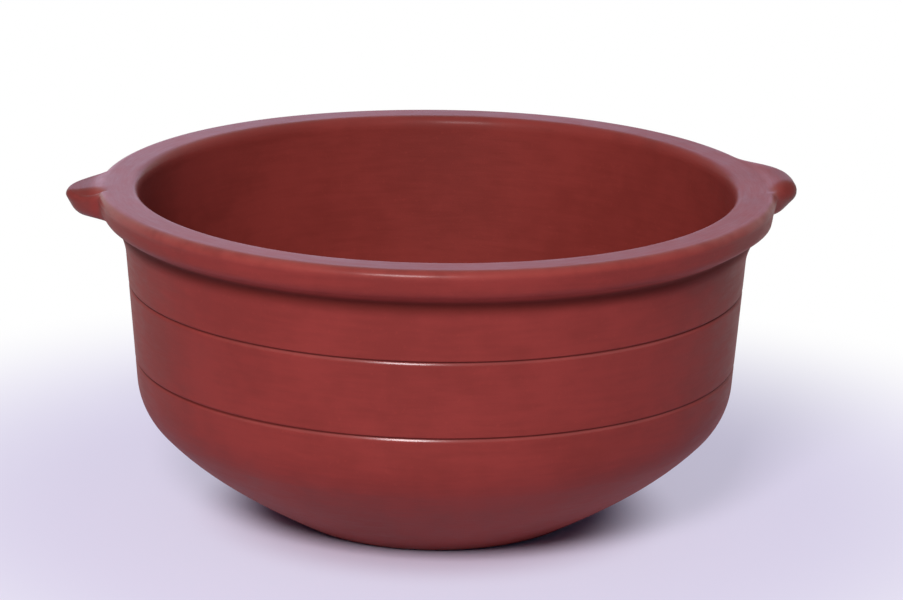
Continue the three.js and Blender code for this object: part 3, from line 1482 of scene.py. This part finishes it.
@dataclass
class Part:
    """What every clay piece of the pot shares."""

    skin: Skin
    finish: ClayFinish
    material: bpy.types.Material

    def dress(self, mesh: ClayMesh, node: str) -> None:
        """Makes a piece with the shared material, and lets it stand for a node of the frame.

        Args:
            mesh: The piece's closed mesh.
            node: Name of the frame's node.
        """
        piece = mesh.piece(f"{node}_clay", self.material)
        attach(piece, BODY)
        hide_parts(node)
        log.info("%s: %d faces", piece.name, len(piece.data.polygons))

    def visible(self, mesh: ClayMesh, first: Mark, last: Mark) -> None:
        """Adds the plain rows between two marks, all the way round, with the skin's normals."""
        rows = self.skin.profile.rows(first, last)
        mesh.patch(self.skin.plain[rows], self.skin.normals[rows])

    def joint(self, mesh: ClayMesh, first: Mark, last: Mark) -> None:
        """Adds the hidden face that joins two marked rows through the wall."""
        mesh.patch(self.skin.plain[[self.skin.row(first), self.skin.row(last)]])


class Floor(Part):
    """The flat disc that the pot stands on."""

    def build(self) -> None:
        """Makes the disc."""
        mesh = ClayMesh()
        self.visible(mesh, Mark.UNDERSIDE_MIDDLE, Mark.FOOT)
        self.joint(mesh, Mark.FOOT, Mark.FLOOR_EDGE)
        self.visible(mesh, Mark.FLOOR_EDGE, Mark.FLOOR_MIDDLE)
        self.dress(mesh, "floor_disc")


class Bowl(Part):
    """The rounded lower bowl and the side that stands on it."""

    def build(self) -> None:
        """Makes the lower bowl, then the side."""
        self._ring("lower_bowl", (Mark.FOOT, Mark.BOWL_TOP, Mark.BOWL_INSIDE, Mark.FLOOR_EDGE))
        self._ring("side_wall", (Mark.BOWL_TOP, Mark.NECK, Mark.RIM_INSIDE, Mark.BOWL_INSIDE))

    def _ring(self, node: str, marks: tuple[Mark, Mark, Mark, Mark]) -> None:
        """Makes one ring of the wall.

        Args:
            node: Name of the frame's node.
            marks: Where the outside starts and ends, and where the inside starts and ends.
        """
        outside_low, outside_high, inside_high, inside_low = marks
        mesh = ClayMesh()
        self.visible(mesh, outside_low, outside_high)
        self.joint(mesh, outside_high, inside_high)
        self.visible(mesh, inside_high, inside_low)
        self.joint(mesh, inside_low, outside_low)
        self.dress(mesh, node)


class Rim(Part):
    """The thick collar with its flat top, and the seats of the lugs in its edge."""

    def build(self) -> None:
        """Makes the collar."""
        skin = self.skin
        mesh = ClayMesh()
        self.visible(mesh, Mark.NECK, Mark.LUG_LOW)
        rows = skin.profile.rows(Mark.LUG_LOW, Mark.LUG_TOP)
        start = 0
        for columns in skin.lug_columns.values():
            first, last = columns.start, columns.stop - 1
            self._between_lugs(mesh, rows, slice(start, first + 1))
            mesh.patch(skin.seat[rows, columns])
            mesh.patch(np.stack([skin.full[rows, first], skin.seat[rows, first]], axis=1))
            mesh.patch(np.stack([skin.seat[rows, last], skin.full[rows, last]], axis=1))
            start = last
        self._between_lugs(mesh, rows, slice(start, len(skin.angles)))
        self.visible(mesh, Mark.LUG_TOP, Mark.RIM_INSIDE)
        self.joint(mesh, Mark.RIM_INSIDE, Mark.NECK)
        self.dress(mesh, "rim_collar")

    def _between_lugs(self, mesh: ClayMesh, rows: slice, columns: slice) -> None:
        """Adds a stretch of the collar's edge, and its hidden face towards the web.

        Args:
            mesh: The collar's mesh, which is added to.
            rows: Rows of the edge.
            columns: Columns of the stretch.
        """
        skin = self.skin
        low = skin.row(Mark.LUG_LOW)
        mesh.patch(skin.full[rows, columns], skin.normals[rows, columns])
        mesh.patch(np.stack([skin.plain[low, columns], skin.full[low, columns]]))


@dataclass
class Lug(Part):
    """A pinched lug and the web of clay smeared under it."""

    shape: LugShape

    def build(self) -> None:
        """Makes the lug, then its web."""
        self._lug()
        self._web()

    def _lug(self) -> None:
        """Makes the lug, closed along the seat that it is let into."""
        skin = self.skin
        rows, columns = skin.profile.rows(Mark.LUG_LOW, Mark.LUG_TOP), skin.lug_columns[self.shape.side]
        low, first, last = rows.start, columns.start, columns.stop - 1
        mesh = ClayMesh()
        mesh.patch(skin.full[rows, columns], skin.normals[rows, columns])
        mesh.patch(skin.seat[rows, columns], flip=True)
        mesh.patch(np.stack([skin.seat[low, columns], skin.full[low, columns]]))
        mesh.patch(np.stack([skin.seat[rows, first], skin.full[rows, first]], axis=1))
        mesh.patch(np.stack([skin.full[rows, last], skin.seat[rows, last]], axis=1))
        self.dress(mesh, self.shape.node)

    def _web(self) -> None:
        """Makes the web, closed along the side and the rim that it is bedded against."""
        skin = self.skin
        rows, columns = skin.profile.rows(Mark.WEB_LOW, Mark.LUG_LOW), skin.web_columns[self.shape.side]
        high = skin.row(Mark.LUG_LOW)
        mesh = ClayMesh()
        mesh.patch(skin.full[rows, columns], skin.normals[rows, columns])
        mesh.patch(np.stack([skin.full[high, columns], skin.plain[high, columns]]))
        mesh.patch(skin.plain[rows, columns], flip=True)
        self.dress(mesh, f"{self.shape.node}_web")


@dataclass(frozen=True)
class Lamp:
    """A soft lamp that points at the pot."""

    name: str
    place: Point
    width: float
    height: float
    power: float
    colour: Colour
    aim: Point = (0.0, 0.0, 0.06)

    def hang(self) -> None:
        """Adds the lamp."""
        light = bpy.data.lights.new(self.name, "AREA")
        light.shape = "RECTANGLE"
        light.size = self.width
        light.size_y = self.height
        light.energy = self.power
        light.color = self.colour
        lamp = bpy.data.objects.new(self.name, light)
        lamp.location = self.place
        direction = Vector(self.aim) - Vector(self.place)
        lamp.rotation_euler = direction.to_track_quat("-Z", "Y").to_euler()
        bpy.context.scene.collection.objects.link(lamp)


KEY_LAMP = Lamp(
    name="key_lamp",
    place=(-0.50, -1.936, 1.36),
    width=0.60,
    height=0.60,
    power=46.5,
    colour=(1.0, 0.93, 0.95),
)
BACK_LAMP = Lamp(
    name="back_lamp",
    place=(0.15, 2.5, 0.81),
    width=2.2,
    height=1.2,
    power=5.0,
    colour=(0.6, 0.3, 1.0),
)


@dataclass
class Studio:
    """Pale floor, soft light and the camera at the photograph's angle, in metres and pixels."""

    rim_middle: Vector
    frame_width: float = 903.0
    frame_height: float = 600.0
    focal_pixels: float = 4825.6
    distance: float = 1.782
    pitch: float = math.radians(15.36)
    roll: float = math.radians(-0.78)
    turn: float = math.radians(-3.5)
    rim_pixel: Span = (437.1, 184.4)
    sensor: float = 36.0
    sight: float = 100.0
    floor_reach: float = 9.0
    floor_colour: Colour = (0.82, 0.78, 0.96)
    glow_colour: Colour = (0.85, 0.82, 1.0)
    glow_share: float = 0.54
    glow_near: Span = (0.058, 0.095)
    glow_far: Span = (0.13, 0.31)
    left_colour: Colour = (0.02, 0.015, 0.05)
    right_colour: Colour = (0.01, 0.05, 0.10)
    sky_colour: Colour = (0.25, 0.25, 0.29)
    left_to_right: Span = (-0.4, 0.4)
    wall_to_sky: Span = (0.3, 0.75)
    lamps: tuple[Lamp, Lamp] = (KEY_LAMP, BACK_LAMP)

    def build(self) -> None:
        """Sets up the whole studio."""
        bpy.context.scene.view_settings.view_transform = "Standard"
        self._camera()
        self._floor()
        self._world()
        for lamp in self.lamps:
            lamp.hang()

    def _camera(self) -> None:
        """Places the camera so that the rim's middle falls on its pixel of the photograph."""
        forward = Vector((0, math.cos(self.pitch), -math.sin(self.pitch)))
        level = Vector((1, 0, 0))
        upright = level.cross(forward)
        right = level * math.cos(self.roll) - upright * math.sin(self.roll)
        up = level * math.sin(self.roll) + upright * math.cos(self.roll)
        across = (self.rim_pixel[0] - self.frame_width / 2) / self.focal_pixels
        down = (self.rim_pixel[1] - self.frame_height / 2) / self.focal_pixels
        place = self.rim_middle - (forward + right * across - up * down) * self.distance
        axes = Matrix((right, up, -forward)).transposed().to_4x4()
        lens = bpy.data.cameras.new("photo_camera")
        lens.sensor_width = self.sensor
        lens.lens = self.focal_pixels * self.sensor / self.frame_width
        lens.clip_end = self.sight
        camera = bpy.data.objects.new("photo_camera", lens)
        camera.matrix_world = Matrix.Rotation(self.turn, 4, "Z") @ Matrix.Translation(place) @ axes
        bpy.context.scene.collection.objects.link(camera)
        bpy.context.scene.camera = camera

    def _floor(self) -> None:
        """Lays the floor."""
        reach = self.floor_reach
        corners = [(-reach, -reach, 0), (reach, -reach, 0), (reach, reach, 0), (-reach, reach, 0)]
        mesh = bpy.data.meshes.new("studio_floor")
        mesh.from_pydata(corners, [], [range(len(corners))])
        mesh.materials.append(self._floor_material())
        floor = bpy.data.objects.new("studio_floor", mesh)
        bpy.context.scene.collection.objects.link(floor)

    def _floor_material(self) -> bpy.types.Material:
        """Makes the floor's finish: its lit colour, plus a painted glow for the camera and reflections that
        is missing at the pot's foot, so the floor is darker there, and grows to white far away.

        Returns:
            The material.
        """
        shader = Shader(bpy.data.materials.new("studio_floor"))
        x, y, _ = shader.parts(shader.place())
        radius = shader.distance(x, y)
        # Painted light: the glow grows from nothing at the pot's foot, leaving the floor darker there, to
        # white far from the pot.
        near, far = shader.between(radius, *self.glow_near), shader.between(radius, *self.glow_far)
        glow = shader.blend(far, self.glow_colour, WHITE)
        share = near * self.glow_share + far * (1.0 - self.glow_share)
        matt = shader.node("ShaderNodeBsdfDiffuse", {}, {"Color": (*self.floor_colour, 1.0)})
        white = shader.node("ShaderNodeEmission", {}, {"Color": glow, "Strength": 1.0})
        inputs = {0: share * shader.seen(), 1: shader.value(matt), 2: shader.value(white)}
        return shader.finish(shader.value(shader.node("ShaderNodeMixShader", {}, inputs)))

    def _world(self) -> None:
        """Lights the room softly from above and shows it white."""
        shader = Shader(bpy.data.worlds.new("studio_room"))
        x, _, z = shader.parts(shader.place("Generated"))
        light = shader.blend(shader.between(x, *self.left_to_right), self.left_colour, self.right_colour)
        light = shader.blend(shader.between(z, *self.wall_to_sky), light, self.sky_colour)
        colour = shader.blend(shader.seen(), light, WHITE)
        background = shader.node("ShaderNodeBackground", {}, {"Color": colour, "Strength": 1.0})
        bpy.context.scene.world = shader.finish(shader.value(background))


def main() -> None:
    """Builds the pot and its studio in order."""
    logging.basicConfig(level=logging.INFO, format="%(message)s")
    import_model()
    section = Section.from_frame()
    skin = Skin(section, (RIGHT_LUG, LEFT_LUG))
    rubbed = BURNISHED.material(section)
    Floor(skin, SMOOTHED, SMOOTHED.material(section)).build()
    Bowl(skin, BURNISHED, rubbed).build()
    Rim(skin, BURNISHED, rubbed).build()
    Lug(skin, BURNISHED, rubbed, RIGHT_LUG).build()
    Lug(skin, BURNISHED, rubbed, LEFT_LUG).build()
    Studio(Vector((0, 0, section.height * MM))).build()


if __name__ == "__main__":
    main()
